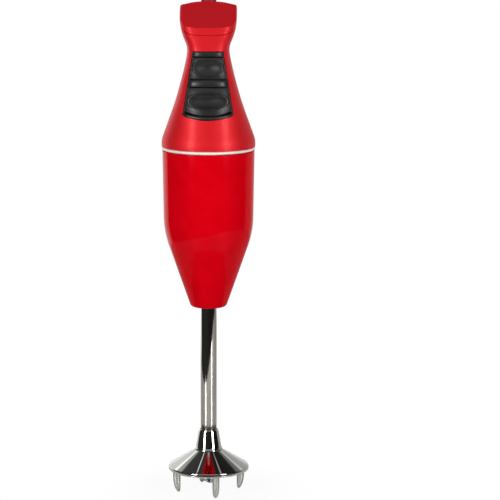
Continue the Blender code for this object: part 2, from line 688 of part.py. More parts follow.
def main():
    for obj in list(bpy.data.objects):
        bpy.data.objects.remove(obj)

    gloss_red = material("gloss_red", (0.58, 0.005, 0.012), 0.12)
    satin_red = material("satin_red", (0.66, 0.014, 0.02), 0.38, 0.3)
    cream = material("cream_seal", (0.85, 0.76, 0.66), 0.4)
    black = material("black_plastic", (0.018, 0.018, 0.017), 0.42)
    chrome = material("polished_chrome", (0.72, 0.72, 0.71), 0.06, 1)
    stainless = material("stainless_tube", (0.62, 0.61, 0.59), 0.12, 1)
    blade_steel = material("blade_steel", (0.55, 0.55, 0.54), 0.25, 1)
    steel = material("steel", (0.45, 0.45, 0.45), 0.35, 1)
    lamination = material("lamination_steel", (0.2, 0.2, 0.21), 0.5, 1)
    copper = material("copper", (0.72, 0.32, 0.16), 0.35, 1)
    bronze = material("sintered_bronze", (0.45, 0.3, 0.13), 0.5, 1)
    brass = material("brass", (0.68, 0.5, 0.2), 0.3, 1)
    aluminium = material("die_cast_aluminium", (0.6, 0.6, 0.61), 0.4, 1)
    grey = material("grey_nylon", (0.18, 0.18, 0.19), 0.5)
    white = material("white_nylon", (0.75, 0.74, 0.7), 0.45)
    carbon = material("carbon", (0.03, 0.03, 0.03), 0.7)
    rubber = material("black_rubber", (0.02, 0.02, 0.02), 0.75)
    red_rubber = material("red_rubber", (0.4, 0.012, 0.016), 0.6)
    green = material("board_green", (0.02, 0.14, 0.06), 0.45)
    mustard = material("capacitor_yellow", (0.62, 0.42, 0.06), 0.4)
    red_lead = material("lead_insulation", (0.05, 0.09, 0.35), 0.5)

    upper_housing(satin_red)
    label_lid(satin_red)
    cord_gland(red_rubber)
    seal_ring(cream)
    lower_housing(gloss_red)
    switch_frame(black)

    ring("shaft_tube", TUBE_R - TUBE_WALL, TUBE_R, TUBE_BOTTOM, TUBE_TOP, stainless, 24)
    turned("tube_socket", [(TUBE_R + GAP, 135.4), (9.8, 135.4), (13.2, 145.0), (13.2, 147.5),
                           (10, 147.5), (9.0, 145.0), (TUBE_R + GAP, 145.0)], aluminium, 20)
    bell_collar(chrome)
    bell_guard(chrome)
    shaft_seal(rubber)
    bush("lower_shaft_bush", 30.6, 40, bronze)
    bush("upper_shaft_bush", 136, 145.6, bronze)

    stator_core(lamination)
    lower_bracket(aluminium)
    upper_bracket(grey)
    bush("lower_motor_bush", 167.5, 174.5, bronze)
    bush("upper_motor_bush", 244.5, 250, bronze)
    for word, side in (("left", -1), ("right", 1)):
        field_coil(f"field_coil_{word}", side, copper)
        brush_holder(f"brush_holder_{word}", side, brass)
        carbon_brush(f"carbon_brush_{word}", side, carbon)
        brush_spring(f"brush_spring_{word}", side, steel)
        motor_bolt(f"motor_bolt_{word}", side, steel)
        board_screw(f"board_screw_{word}", side, steel)
        way = [(21.0, 0, 241), (21.0, 1.5, 250), (15.5, 3, 262), (11.5, 2.6, 272), (8.6, 1.0, 277),
               (8.4, -1.6, 279)]
        wire(f"motor_lead_{word}", [(side * x, y, z) for x, y, z in way], 0.9, red_lead)

    microswitch("microswitch_upper", UPPER_KEY["dimple"], black)
    microswitch("microswitch_lower", LOWER_KEY["dimple"], black)
    control_board(green)
    block("suppression_capacitor", (15, 8, 7.5), (0, 1.6, 299), mustard, 0.8)
    rod("rectifier_diode", 1.6, (-4.5, -0.8, 270), (4.5, -0.8, 270), black, 10)
    block("terminal_block", (15, 7.5, 6.5), (0, 1.3, 309.5), white, 0.5)

    place_on("rotor_axis", (0, 0, 200), [
        turned("motor_shaft", [(0, 154.4), (SHAFT_R, 154.4), (SHAFT_R, 251.4),
                               (SHAFT_R - 0.5, 252), (0, 252)], steel, 16),
        armature_core(lamination),
        armature_winding("armature_winding_lower", 182.4, 188.6, copper),
        armature_winding("armature_winding_upper", 221.4, 228.4, copper),
        commutator(copper),
        ring("shaft_coupling", BORE_R, 5.2, 148.4, 163, brass),
        drive_shaft(stainless),
        drive_pin(steel),
    ])
    low_arm = [(4.6, 0, 3.4), (8.5, -0.2, 3.1), (12.0, -0.7, 2.0), (14.3, -1.1, 0.7)]
    high_arm = [(5.0, 0, 2.9), (6.6, 1.2, 2.9), (9.6, 9.0, 2.3), (10.6, 12.4, 1.0)]
    place_on("blade_axis", (0, 0, HUB_BOTTOM), [
        blade_hub(blade_steel),
        blade_wing("blade_wing_lower", math.radians(96), 8.6, 0.9, low_arm, blade_steel),
        blade_wing("blade_wing_upper", math.radians(8), 9.9, 0.9, high_arm, blade_steel),
    ])
    for word, key in (("upper", UPPER_KEY), ("lower", LOWER_KEY)):
        z = key["dimple"]
        key_spring(f"button_spring_{word}", z, steel)
        place_on(f"{word}_button_slide", (0, front_y(0, z), z),
                 [key_cap(f"button_{word}", key, black), plunger(f"plunger_{word}", z, white)])


main()
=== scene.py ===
# %% [markdown]
# # A red immersion blender, from handle to blade
#
# The blender stands on the four feet of its bell. Its satin red handle, gloss red motor
# housing and steel shaft are already placed as plain solids, with everything that turns
# inside them. This lesson gives each piece the surface that the eye meets: fine curves,
# rounded edges, and a finish for each material. All sizes are in millimetres, and one
# factor turns them to Blender's metres.

# %% Load the frame and note its size
import json
import math

import bpy
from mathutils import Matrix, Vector

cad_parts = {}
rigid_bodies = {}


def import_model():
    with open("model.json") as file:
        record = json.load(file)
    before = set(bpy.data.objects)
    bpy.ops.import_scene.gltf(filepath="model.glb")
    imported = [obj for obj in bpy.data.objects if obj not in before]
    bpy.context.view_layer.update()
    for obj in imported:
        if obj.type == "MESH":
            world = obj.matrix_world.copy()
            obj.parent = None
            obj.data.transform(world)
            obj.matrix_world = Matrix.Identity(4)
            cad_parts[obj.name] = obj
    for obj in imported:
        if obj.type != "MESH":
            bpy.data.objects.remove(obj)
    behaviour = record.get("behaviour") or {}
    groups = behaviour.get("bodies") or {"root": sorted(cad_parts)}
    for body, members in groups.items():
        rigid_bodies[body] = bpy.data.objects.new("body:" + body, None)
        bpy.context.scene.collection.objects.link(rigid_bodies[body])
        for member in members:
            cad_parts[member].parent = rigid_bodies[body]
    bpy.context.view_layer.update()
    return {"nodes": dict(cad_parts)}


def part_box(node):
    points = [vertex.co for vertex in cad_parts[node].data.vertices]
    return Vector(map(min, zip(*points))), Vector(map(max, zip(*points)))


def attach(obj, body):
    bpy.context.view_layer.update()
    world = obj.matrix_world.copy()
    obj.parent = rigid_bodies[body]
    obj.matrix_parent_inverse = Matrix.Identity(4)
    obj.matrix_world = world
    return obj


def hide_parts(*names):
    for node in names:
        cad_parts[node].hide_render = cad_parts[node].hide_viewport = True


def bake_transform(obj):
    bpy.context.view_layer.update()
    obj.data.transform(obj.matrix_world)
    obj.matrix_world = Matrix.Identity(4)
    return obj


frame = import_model()
MM = 0.001


def span(node):
    """Lowest and highest corner of a plain solid, in millimetres."""
    low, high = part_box(node)
    return low / MM, high / MM


# %% [markdown]
# ## Working in edit mode from code
#
# An operator acts on whatever is selected, and the loaded solids start out selected. So
# each piece begins with a clean selection. The helpers below do what a hand would do in
# the viewport: pick one object, go into edit mode, and pick faces or edges by their place.


# %% Selection helpers
def only(piece=None):
    """Deselects everything, then selects the one piece and makes it active."""
    if bpy.context.object and bpy.context.object.mode != "OBJECT":
        bpy.ops.object.mode_set(mode="OBJECT")
    bpy.ops.object.select_all(action="DESELECT")
    if piece:
        piece.select_set(True)
        bpy.context.view_layer.objects.active = piece
    return piece


def pick(piece, kind, wanted):
    """Enters edit mode with just those faces, edges or vertices selected that pass the test."""
    only(piece)
    bpy.ops.object.mode_set(mode="EDIT")
    bpy.ops.mesh.select_mode(type=kind)
    bpy.ops.mesh.select_all(action="DESELECT")
    bpy.ops.object.mode_set(mode="OBJECT")
    parts = {"VERT": piece.data.vertices, "EDGE": piece.data.edges, "FACE": piece.data.polygons}[kind]
    for part in parts:
        part.select = wanted(part)
    bpy.ops.object.mode_set(mode="EDIT")


def settle(piece, name=None):
    """Puts the object's place, turn and size into its mesh, so that it sits at the origin."""
    only(piece)
    bpy.ops.object.transform_apply(location=True, rotation=True, scale=True)
    piece.name = name or piece.name
    return piece


def tidy_mesh(piece, weld_mm=0.002):
    """Merges doubles and turns all faces outwards."""
    only(piece)
    bpy.ops.object.mode_set(mode="EDIT")
    bpy.ops.mesh.select_all(action="SELECT")
    bpy.ops.mesh.remove_doubles(threshold=weld_mm * MM)
    bpy.ops.mesh.normals_make_consistent(inside=False)
    bpy.ops.object.mode_set(mode="OBJECT")


def modify(piece, kind, **settings):
    """Adds a modifier with its settings and applies it at once."""
    only(piece)
    step = piece.modifiers.new(kind.title(), kind)
    for name, value in settings.items():
        setattr(step, name, value)
    bpy.ops.object.modifier_apply(modifier=step.name)
    return piece


def round_edges(piece, width, segments=3, angle=32):
    """Rounds every edge that is sharper than the angle."""
    return modify(piece, "BEVEL", width=width * MM, segments=segments, limit_method="ANGLE",
                  angle_limit=math.radians(angle), harden_normals=False)


def cut(piece, cutter):
    """Takes the cutter's shape out of the piece."""
    modify(piece, "BOOLEAN", operation="DIFFERENCE", object=cutter, solver="EXACT")
    bpy.data.objects.remove(cutter)
    return piece


def rod(radius, low, high, axis=(0.0, 0.0)):
    """An upright cylinder, to cut a round hole with; sizes in millimetres."""
    only()
    bpy.ops.mesh.primitive_cylinder_add(vertices=64, radius=radius * MM, depth=(high - low) * MM,
                                        location=(axis[0] * MM, axis[1] * MM, (low + high) / 2 * MM))
    return settle(bpy.context.object)


def shade(piece, angle=32):
    """Smooth shading that lets large faces keep their own direction beside a rounded edge."""
    only(piece)
    bpy.ops.object.shade_smooth_by_angle(angle=math.radians(angle))
    return modify(piece, "WEIGHTED_NORMAL", keep_sharp=True)




# %% [markdown]
# ## The lathe: a circle that is extruded and scaled
#
# Housing, ring, tube, collar and bell are all turned shapes. By hand they are made from
# one circle: extrude its edge, move it along the axis, scale it, and repeat along the
# outline. The Screw modifier would do it too, but extruding keeps the rings in order, so
# the wall's inside and outside come from one closed outline.


# %% Turn a closed outline of (radius, height)
def arc(centre, radius, start, end, steps):
    """Points of a circular arc in the outline plane; angles in degrees from the radius axis."""
    turns = [math.radians(start + (end - start) * k / steps) for k in range(steps + 1)]
    return [(centre[0] + radius * math.cos(a), centre[1] + radius * math.sin(a)) for a in turns]


def turned(name, outline, around=128, axis=(0.0, 0.0)):
    """A closed outline turned round a vertical axis by extruding and scaling a circle."""
    only()
    radius, height = outline[0]
    bpy.ops.mesh.primitive_circle_add(vertices=around, radius=radius * MM, location=(0, 0, height * MM))
    piece = settle(bpy.context.object, name)
    bpy.ops.object.mode_set(mode="EDIT")
    bpy.ops.mesh.select_all(action="SELECT")
    for next_radius, next_height in outline[1:] + outline[:1]:
        rise = (next_height - height) * MM
        bpy.ops.mesh.extrude_edges_move(TRANSFORM_OT_translate={"value": (0, 0, rise)})
        share = next_radius / radius
        bpy.ops.transform.resize(value=(share, share, 1), center_override=(0, 0, next_height * MM))
        radius, height = next_radius, next_height
    tidy_mesh(piece)
    piece.location = (axis[0] * MM, axis[1] * MM, 0)
    return settle(piece)


# %% [markdown]
# ## Colours and shader nodes
#
# Paint charts give colours as sRGB hex, and shaders work in linear light, so one function
# translates. One more function adds a node with its settings and links, which keeps each
# material readable. Every pattern reads Object coordinates, which are metres here, so a
# grain of so many millimetres becomes a texture scale with one division.


# %% Shader helpers
def linear(hex_colour):
    """sRGB hex to linear RGBA."""
    channels = [int(hex_colour[i:i + 2], 16) / 255 for i in (1, 3, 5)]
    return (*[c / 12.92 if c <= 0.04045 else ((c + 0.055) / 1.055) ** 2.4 for c in channels], 1.0)


def grain(size_mm):
    """Texture scale whose features are about size_mm wide."""
    return 1000.0 / size_mm


def add(tree, kind, inputs=(), **settings):
    """Adds a node; inputs maps a socket's name or number to a value or to another node's output."""
    made = tree.nodes.new(kind)
    for name, value in settings.items():
        setattr(made, name, value)
    for socket, source in dict(inputs).items():
        if isinstance(source, bpy.types.NodeSocket):
            tree.links.new(source, made.inputs[socket])
        else:
            made.inputs[socket].default_value = source
    return made


def new_finish(name, **sockets):
    """A material with its shader, node tree and object coordinates."""
    finish = bpy.data.materials.new(name)
    finish.use_nodes = True
    tree = finish.node_tree
    shader = tree.nodes["Principled BSDF"]
    for socket, value in sockets.items():
        shader.inputs[socket.replace("_", " ")].default_value = value
    return finish, tree, shader, add(tree, "ShaderNodeTexCoord").outputs["Object"]


def vary(tree, source, low, high):
    """Spreads a pattern's middle range over low to high, for a roughness or a height."""
    return add(tree, "ShaderNodeMapRange", {"Value": source, "From Min": 0.3, "From Max": 0.7,
                                            "To Min": low, "To Max": high}).outputs["Result"]


def tint(tree, source, dark, light):
    """Runs a pattern between two sRGB colours."""
    return add(tree, "ShaderNodeMix", {"Factor": vary(tree, source, 0.0, 1.0), 6: linear(dark),
                                       7: linear(light)}, data_type="RGBA").outputs[2]


def relief(tree, shader, height, depth_mm):
    """Bumps the surface by a pattern, depth_mm from its lowest to its highest point."""
    bump = add(tree, "ShaderNodeBump", {"Height": height, "Distance": depth_mm * MM, "Strength": 1.0})
    tree.links.new(bump.outputs["Normal"], shader.inputs["Normal"])


# %% [markdown]
# ## Handle finish: satin metallic lacquer
#
# The handle is painted with a metallic base coat: fine aluminium flakes in red binder. It
# is bright where the flakes mirror a lamp and deep maroon where they mirror a dark
# ceiling, which is why the slanted lid looks so much darker than the neck. A metallic
# shader with middling roughness gives that swing. The flakes are drawn at 0.3 mm, coarser
# than real ones, so that they still show.

# %% Satin red lacquer
satin_red, tree, shader, place = new_finish("satin_metallic_lacquer", Metallic=0.28, Coat_Weight=0.1,
                                            Coat_Roughness=0.2, Specular_IOR_Level=0.2)
flakes = add(tree, "ShaderNodeTexNoise", {"Vector": place, "Scale": grain(0.3), "Detail": 1.0}).outputs["Fac"]
cloud = add(tree, "ShaderNodeTexNoise", {"Vector": place, "Scale": grain(14), "Detail": 2.0}).outputs["Fac"]
tree.links.new(tint(tree, flakes, "#D30F1C", "#E2202A"), shader.inputs["Base Color"])
tree.links.new(vary(tree, cloud, 0.47, 0.53), shader.inputs["Roughness"])
relief(tree, shader, flakes, 0.004)
print("made", satin_red.name)

# %% [markdown]
# ## Motor housing finish: gloss moulded plastic
#
# The housing is polished ABS. Its colour is in the plastic, under a mirror-smooth skin
# that shows the table and the lamps as clear reflections. Long shallow waves, 5 mm apart
# and a few thousandths deep, keep those reflections from looking computed.

# %% Gloss red plastic
gloss_red, tree, shader, place = new_finish("gloss_abs_red", IOR=1.46, Specular_IOR_Level=0.06)
waves = add(tree, "ShaderNodeTexNoise", {"Vector": place, "Scale": grain(9), "Detail": 1.0}).outputs["Fac"]
dust = add(tree, "ShaderNodeTexNoise", {"Vector": place, "Scale": grain(1.2), "Detail": 3.0}).outputs["Fac"]
tree.links.new(tint(tree, waves, "#D00010", "#D60214"), shader.inputs["Base Color"])
tree.links.new(vary(tree, dust, 0.05, 0.09), shader.inputs["Roughness"])
relief(tree, shader, waves, 0.006)
print("made", gloss_red.name)

# %% [markdown]
# ## Finishes with one grain
#
# Most other pieces are one material with one grain: spark-eroded black plastic, a cast
# foot, sintered bronze, rubber. They differ only in colour, grain size, roughness and
# relief, so one function makes them all. A stretch along an axis turns the same grain
# into grinding lines, wire turns or stacked sheet.


# %% One function for grained finishes
def grained(name, dark, light, size_mm, roughness, relief_mm, stretch=(1, 1, 1), **sockets):
    """A finish whose colour, roughness and relief all follow one grain."""
    finish, tree, shader, place = new_finish(name, **sockets)
    lengthened = add(tree, "ShaderNodeMapping", {"Vector": place, "Scale": tuple(1 / s for s in stretch)})
    pattern = add(tree, "ShaderNodeTexNoise", {"Vector": lengthened.outputs["Vector"], "Scale": grain(size_mm),
                                               "Detail": 3.0}).outputs["Fac"]
    tree.links.new(tint(tree, pattern, dark, light), shader.inputs["Base Color"])
    tree.links.new(vary(tree, pattern, *roughness), shader.inputs["Roughness"])
    relief(tree, shader, pattern, relief_mm)
    return finish


black_plastic = grained("spark_eroded_black_abs", "#0B0B0A", "#121211", 0.35, (0.38, 0.46), 0.005,
                        Specular_IOR_Level=0.65)
cream_plastic = grained("cream_polypropylene", "#F2DFD2", "#FBEFE6", 0.8, (0.32, 0.42), 0.004)
chrome = grained("polished_chrome_plate", "#D2D1CC", "#DAD9D5", 12, (0.025, 0.055), 0.0008, Metallic=1.0)
tube_steel = grained("polished_stainless_tube", "#BBB6AD", "#CFCBC3", 0.5, (0.04, 0.07), 0.0006,
                     stretch=(1, 1, 30), Metallic=1.0)
cast_steel = grained("cast_satin_steel", "#B9B8B2", "#D6D5CF", 0.9, (0.3, 0.44), 0.02, Metallic=1.0)
blade_steel = grained("ground_blade_steel", "#A9A8A4", "#C9C8C4", 0.25, (0.2, 0.34), 0.003,
                      stretch=(1, 40, 1), Metallic=1.0)
red_rubber = grained("red_soft_rubber", "#8E0F16", "#A5161E", 0.6, (0.5, 0.65), 0.012)
print("made the outer finishes")

# %% [markdown]
# ## The inner pieces keep their shape
#
# Motor, switch, board and bushes are hidden once the blender is closed. Their plain
# solids already have the right shape, so they only get the finish of what they are made
# of. Copper windings and stacked laminations are the same grain, drawn out into rings.

# %% Inner finishes and who wears them
ROUND_TURNS, SHEETS = (1, 1, 12), (60, 60, 1)
inner = {
    grained("bright_steel", "#8C8C8B", "#ABABA9", 0.5, (0.25, 0.4), 0.004, Metallic=1.0): (
        "board_screw_left", "board_screw_right", "motor_bolt_left", "motor_bolt_right", "motor_shaft",
        "drive_pin", "button_spring_upper", "button_spring_lower", "brush_spring_left",
        "brush_spring_right"),
    grained("stacked_electrical_steel", "#4B4C4F", "#75767A", 0.5, (0.4, 0.55), 0.05, SHEETS,
            Metallic=1.0): ("stator_core", "armature_core"),
    grained("enamelled_copper_wire", "#9A4A22", "#D9824A", 0.4, (0.25, 0.4), 0.15, ROUND_TURNS,
            Metallic=1.0): ("field_coil_left", "field_coil_right", "armature_winding_lower",
                            "armature_winding_upper"),
    grained("worn_copper_bars", "#A35A32", "#C97B4C", 0.3, (0.3, 0.5), 0.004, SHEETS, Metallic=1.0): (
        "commutator",),
    grained("oiled_sintered_bronze", "#6D5228", "#927341", 0.3, (0.4, 0.6), 0.02, Metallic=1.0): (
        "lower_shaft_bush", "upper_shaft_bush", "lower_motor_bush", "upper_motor_bush"),
    grained("drawn_brass", "#B8954A", "#D2B163", 0.4, (0.25, 0.38), 0.004, Metallic=1.0): (
        "brush_holder_left", "brush_holder_right", "shaft_coupling"),
    grained("die_cast_aluminium", "#9A9A9C", "#B9B9BB", 0.7, (0.35, 0.5), 0.02, Metallic=1.0): (
        "motor_lower_bracket", "tube_socket"),
    grained("glass_filled_nylon", "#2C2C2E", "#3B3B3D", 0.5, (0.45, 0.6), 0.012): (
        "motor_upper_bracket", "microswitch_upper", "microswitch_lower", "rectifier_diode"),
    grained("natural_nylon", "#D9D5CA", "#E8E4DA", 1.0, (0.4, 0.5), 0.006): (
        "plunger_upper", "plunger_lower", "terminal_block"),
    grained("pressed_carbon", "#1C1C1D", "#2E2E2F", 0.2, (0.55, 0.75), 0.01): (
        "carbon_brush_left", "carbon_brush_right"),
    grained("black_seal_rubber", "#141414", "#1F1F1F", 0.5, (0.6, 0.75), 0.01): ("shaft_seal",),
    grained("coated_circuit_board", "#0D4A26", "#186B3A", 1.6, (0.3, 0.45), 0.02): ("control_board",),
    grained("dipped_epoxy", "#A9781B", "#C8942B", 2.0, (0.2, 0.3), 0.01): ("suppression_capacitor",),
    grained("wire_insulation", "#1B2C66", "#2A3F85", 1.0, (0.4, 0.5), 0.01): (
        "motor_lead_left", "motor_lead_right"),
}


def dress(node, finish):
    """Gives a plain solid its material in every slot."""
    mesh = frame["nodes"][node].data
    mesh.materials.clear()
    mesh.materials.append(finish)


for finish, wearers in inner.items():
    for node in wearers:
        dress(node, finish)
dress("drive_shaft", tube_steel)
print(sum(len(w) for w in inner.values()) + 1, "inner pieces dressed")


# %% [markdown]
# ## Handing over
#
# Each finished piece gets its material, rides on a moving body and hides the plain solid
# that it stands for. One function does all of it, so that no piece is forgotten.

# %% Hand a finished piece over to its body
def hand_over(piece, finish, body, slot, *stands_for):
    """Gives the piece its finish, and lets it ride in place of the plain solids."""
    piece.data.materials.clear()
    piece.data.materials.append(finish)
    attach(piece, body)
    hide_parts(*stands_for)
    print(f"{piece.name}: {len(piece.data.polygons)} faces, on {body}")


# %% [markdown]
# ## Motor housing
#
# Seen from the side, the housing is a cone that runs into an almost upright wall through
# a long arc. The whole look of the gloss red depends on that arc: a kink there would show
# as a hard line in the reflection. So the outline is two straight lines with a real arc
# between them, in steps of about one degree.

# %% Lower housing
(_, nose), (_, rim) = [(c.x, c.z) for c in span("lower_housing")]
rim_radius = span("lower_housing")[1].x
CONE, WALL_LEAN, BLEND_R, BLEND_Z = 19.9, 0.95, 64.0, 173.5
NOSE_R, NOSE_ROUND, WALL_THICK, TUBE_HOLE = 12.84, 2.6, 2.2, 5.85

cone_end = (NOSE_R + math.tan(math.radians(CONE)) * (BLEND_Z - nose - NOSE_ROUND), BLEND_Z)
lean = math.radians(CONE)
blend_centre = (cone_end[0] - BLEND_R * math.cos(lean), cone_end[1] + BLEND_R * math.sin(lean))
blend = arc(blend_centre, BLEND_R, -CONE, -WALL_LEAN, 20)
nose_corner = arc((NOSE_R - NOSE_ROUND * math.cos(lean), nose + NOSE_ROUND * (1 + math.sin(lean) * 0.06)),
                  NOSE_ROUND, -90, -CONE, 8)
outer = [(TUBE_HOLE, nose)] + nose_corner + blend + [(rim_radius, rim)]
inner_wall = [(r - WALL_THICK, z) for r, z in [(rim_radius, rim)] + blend[::-4]]
outline = outer + inner_wall + [(NOSE_R - 1.2, nose + 3.4), (TUBE_HOLE, nose + 3.4)]
lower_housing = turned("motor_housing", outline, 160)
round_edges(lower_housing, 0.25, 2, 40)
hand_over(shade(lower_housing), gloss_red, "housing", "gloss_red", "lower_housing")

# %% [markdown]
# ## Seal ring
#
# A cream ring sits between the two housings, like the filling of a biscuit. Only its
# rounded edge shows, standing a hair proud of the red. It is one turned outline: the
# sleeve that centres both shells, and the flange between them with a half-round edge.

# %% Seal ring
sleeve_low, sleeve_high = span("seal_ring")[0].z, span("seal_ring")[1].z
flange_low, flange_high = sleeve_low + 4.8, sleeve_high - 3.8
ring_radius = span("seal_ring")[1].x
half = (flange_high - flange_low) / 2
edge = arc((ring_radius - half, flange_low + half), half, -90, 90, 10)
sleeve_in, sleeve_out = 27.4, 29.1
ring_outline = [(sleeve_in, sleeve_low), (sleeve_out, sleeve_low), (sleeve_out, flange_low)] + edge
ring_outline += [(sleeve_out, flange_high), (sleeve_out, sleeve_high), (sleeve_in, sleeve_high)]
seal_ring = turned("cream_seal_ring", ring_outline, 160)
hand_over(shade(seal_ring), cream_plastic, "housing", "cream_seal", "seal_ring")

# %% [markdown]
# ## The handle's skin
#
# The handle starts as the housing's circle and ends as a rounded box, with a waist below
# the head. Sculpting it would be loose, and a subdivision cage shrinks as it smooths. So
# a circle is extruded into a tall stack of rings, and each point then takes its place
# from the section at its own height: half-width, front depth, back depth, and how square
# the corners are. The stations are the few heights where the real outline changes.

# %% Sections of the handle
HALF_WIDTH = [(246.3, 32.1), (249, 31.6), (253, 30.2), (261, 27.3), (273.5, 22.9),
              (286, 19.25), (298, 16.25), (306, 14.65), (309.5, 14.4), (313, 15.0),
              (318.5, 17.1), (323.5, 18.55), (329, 19.3), (344, 19.45)]
FRONT_DEPTH = [(246.3, 32.1), (249, 31.6), (253, 30.2), (261, 27.4), (273.5, 23.7),
               (286, 20.7), (298, 18.6), (309, 17.2), (320, 17.0), (344, 17.0)]
BACK_DEPTH = [(246.3, 32.1), (249, 31.6), (253, 30.2), (261, 27.4), (273.5, 23.7),
              (286, 20.8), (298, 18.8), (309, 18.1), (316, 19.3), (323, 22.2),
              (329, 24.3), (344, 25.0)]
FRONT_POWER = [(246.3, 2.0), (262, 2.15), (285, 2.7), (309, 3.2), (322, 3.7), (344, 3.9)]
BACK_POWER = [(246.3, 2.0), (270, 2.1), (309, 2.5), (344, 2.7)]
UPPER_DIMPLE, LOWER_DIMPLE = 298.1, 276.2
SWELL = 0.55  # how far the front swells beside each key


def along(stations, z):
    """Value at height z on a smooth curve through the stations."""
    if z <= stations[0][0]:
        return stations[0][1]
    if z >= stations[-1][0]:
        return stations[-1][1]
    k = next(i for i in range(1, len(stations)) if z <= stations[i][0])

    def slope(i):
        a, b = stations[max(i - 1, 0)], stations[min(i + 1, len(stations) - 1)]
        return (b[1] - a[1]) / (b[0] - a[0])

    (z0, v0), (z1, v1) = stations[k - 1], stations[k]
    stretch = z1 - z0
    t = (z - z0) / stretch
    return ((2 * t**3 - 3 * t**2 + 1) * v0 + (t**3 - 2 * t**2 + t) * stretch * slope(k - 1)
            + (3 * t**2 - 2 * t**3) * v1 + (t**3 - t**2) * stretch * slope(k))


def hill(value, centre, reach):
    """A smooth hill of height 1 that ends at reach on both sides."""
    share = abs(value - centre) / reach
    return math.cos(share * math.pi / 2) ** 2 if share < 1 else 0.0


def front_swell(x, z):
    """Extra depth of the front beside the keys; it fades out towards the flanks."""
    inside = min(1.0, max(0.0, (0.97 - abs(x) / along(HALF_WIDTH, z)) / 0.2))
    return SWELL * inside * (hill(z, UPPER_DIMPLE, 9.0) + hill(z, LOWER_DIMPLE, 10.5))


def handle_point(turn, z, inset=0.0):
    """Point of the skin at height z, or of a skin that lies inset within it; turn 0 is the front."""
    s, c = math.sin(turn), math.cos(turn)
    width = along(HALF_WIDTH, z) - inset
    front = c > 0
    depth, power = ((inset - along(FRONT_DEPTH, z), along(FRONT_POWER, z)) if front
                    else (along(BACK_DEPTH, z) - inset, along(BACK_POWER, z)))
    x = width * math.copysign(abs(s) ** (2 / power), s)
    y = depth * abs(c) ** (2 / power)
    return Vector((x, y - (front_swell(x, z) if front else 0.0), z))


def front_y(x, z):
    """Depth of the front skin at (x, z)."""
    share = min(abs(x) / along(HALF_WIDTH, z), 0.98)
    power = along(FRONT_POWER, z)
    return -along(FRONT_DEPTH, z) * (1 - share**power) ** (1 / power) - front_swell(x, z)


def even_turns(columns):
    """Bearings that space the points of a squared ring more evenly than equal angles do."""
    return [2 * math.pi * k / columns + 0.16 * math.sin(8 * math.pi * k / columns) for k in range(columns)]


print("waist half-width", along(HALF_WIDTH, 309.5), "mm")

# %% A closed blank of the whole handle
handle_foot = span("upper_housing")[0].z
BLANK_TOP, RINGS, COLUMNS = 353.0, 148, 144


def handle_blank(name, foot, inset=0.0):
    """A circle extruded up into rings, closed at both ends, with every point set to its section."""
    only()
    bpy.ops.mesh.primitive_circle_add(vertices=COLUMNS, radius=1.0)
    piece = settle(bpy.context.object, name)
    bpy.ops.object.mode_set(mode="EDIT")
    bpy.ops.mesh.select_all(action="SELECT")
    for _ in range(RINGS):
        bpy.ops.mesh.extrude_edges_move(TRANSFORM_OT_translate={"value": (0, 0, 1)})
    bpy.ops.mesh.select_all(action="SELECT")
    bpy.ops.mesh.fill_holes(sides=0)
    bpy.ops.object.mode_set(mode="OBJECT")
    turns = even_turns(COLUMNS)
    for vertex in piece.data.vertices:
        bearing = math.atan2(vertex.co.x, -vertex.co.y) % (2 * math.pi)
        turn = turns[round(bearing / (2 * math.pi) * COLUMNS) % COLUMNS]
        z = foot + (BLANK_TOP - foot) * vertex.co.z / RINGS
        vertex.co = handle_point(turn, z, inset) * MM
    tidy_mesh(piece)
    return piece


def slice_off(piece, point, normal, fill=True):
    """Cuts away what lies on the normal's side of a plane."""
    only(piece)
    bpy.ops.object.mode_set(mode="EDIT")
    bpy.ops.mesh.select_all(action="SELECT")
    bpy.ops.mesh.bisect(plane_co=Vector(point) * MM, plane_no=normal, use_fill=fill, clear_outer=True,
                        threshold=0.0005 * MM)
    bpy.ops.object.mode_set(mode="OBJECT")
    return piece


# %% [markdown]
# ## Cutting the head
#
# The lid's face slopes up to a ridge, and behind the ridge the head falls away to the
# cord's gland. The ridge isn't straight: it bows backwards in the middle. A fan of
# seventeen planes, each turned a little from the next, cuts that bow so finely that it
# shades as one curved wall. Bisect with fill closes each cut on the way.

# %% The planes of the head
LID_FRONT = Vector((0, -17.0, 324.9))
LID_SLOPE = math.radians(32.6)
LID_DEPTH, SEAM = 4.7, 0.55
RIDGE_Y, RIDGE_BOW, RIDGE_REACH, RIDGE_PLANES = 8.5, 3.0, 18.0, 8
lid_up = Vector((0, -math.sin(LID_SLOPE), math.cos(LID_SLOPE)))


def cut_ridge(piece, inset=0.0):
    """Cuts the rear slope with a fan of planes that all touch one bowed ridge."""
    for k in range(-RIDGE_PLANES, RIDGE_PLANES + 1):
        t = k / RIDGE_PLANES
        y = RIDGE_Y - RIDGE_BOW * abs(t) ** 3
        ridge_z = LID_FRONT.z + (y - LID_FRONT.y) * math.tan(LID_SLOPE)
        lean = 3 * RIDGE_BOW / RIDGE_REACH * t * abs(t)
        slice_off(piece, (RIDGE_REACH * t, y - inset * math.sqrt(2), ridge_z), (lean, 1, 1))
    return piece


def lid_plane(drop):
    return LID_FRONT - Vector((0, 0, drop))


upper_housing = cut_ridge(handle_blank("handle_shell", handle_foot))
slice_off(upper_housing, lid_plane(LID_DEPTH + SEAM), lid_up)
print("handle blank cut:", len(upper_housing.data.polygons), "faces")

# %% [markdown]
# ## The switch panel's outline
#
# The black panel is a trapezoid that follows the front of the handle, wider at the
# bottom, with an arc for its lower edge. Window, frame and keys all share it, so it is
# written once: half-width at a height, and height of the lower edge across the width.

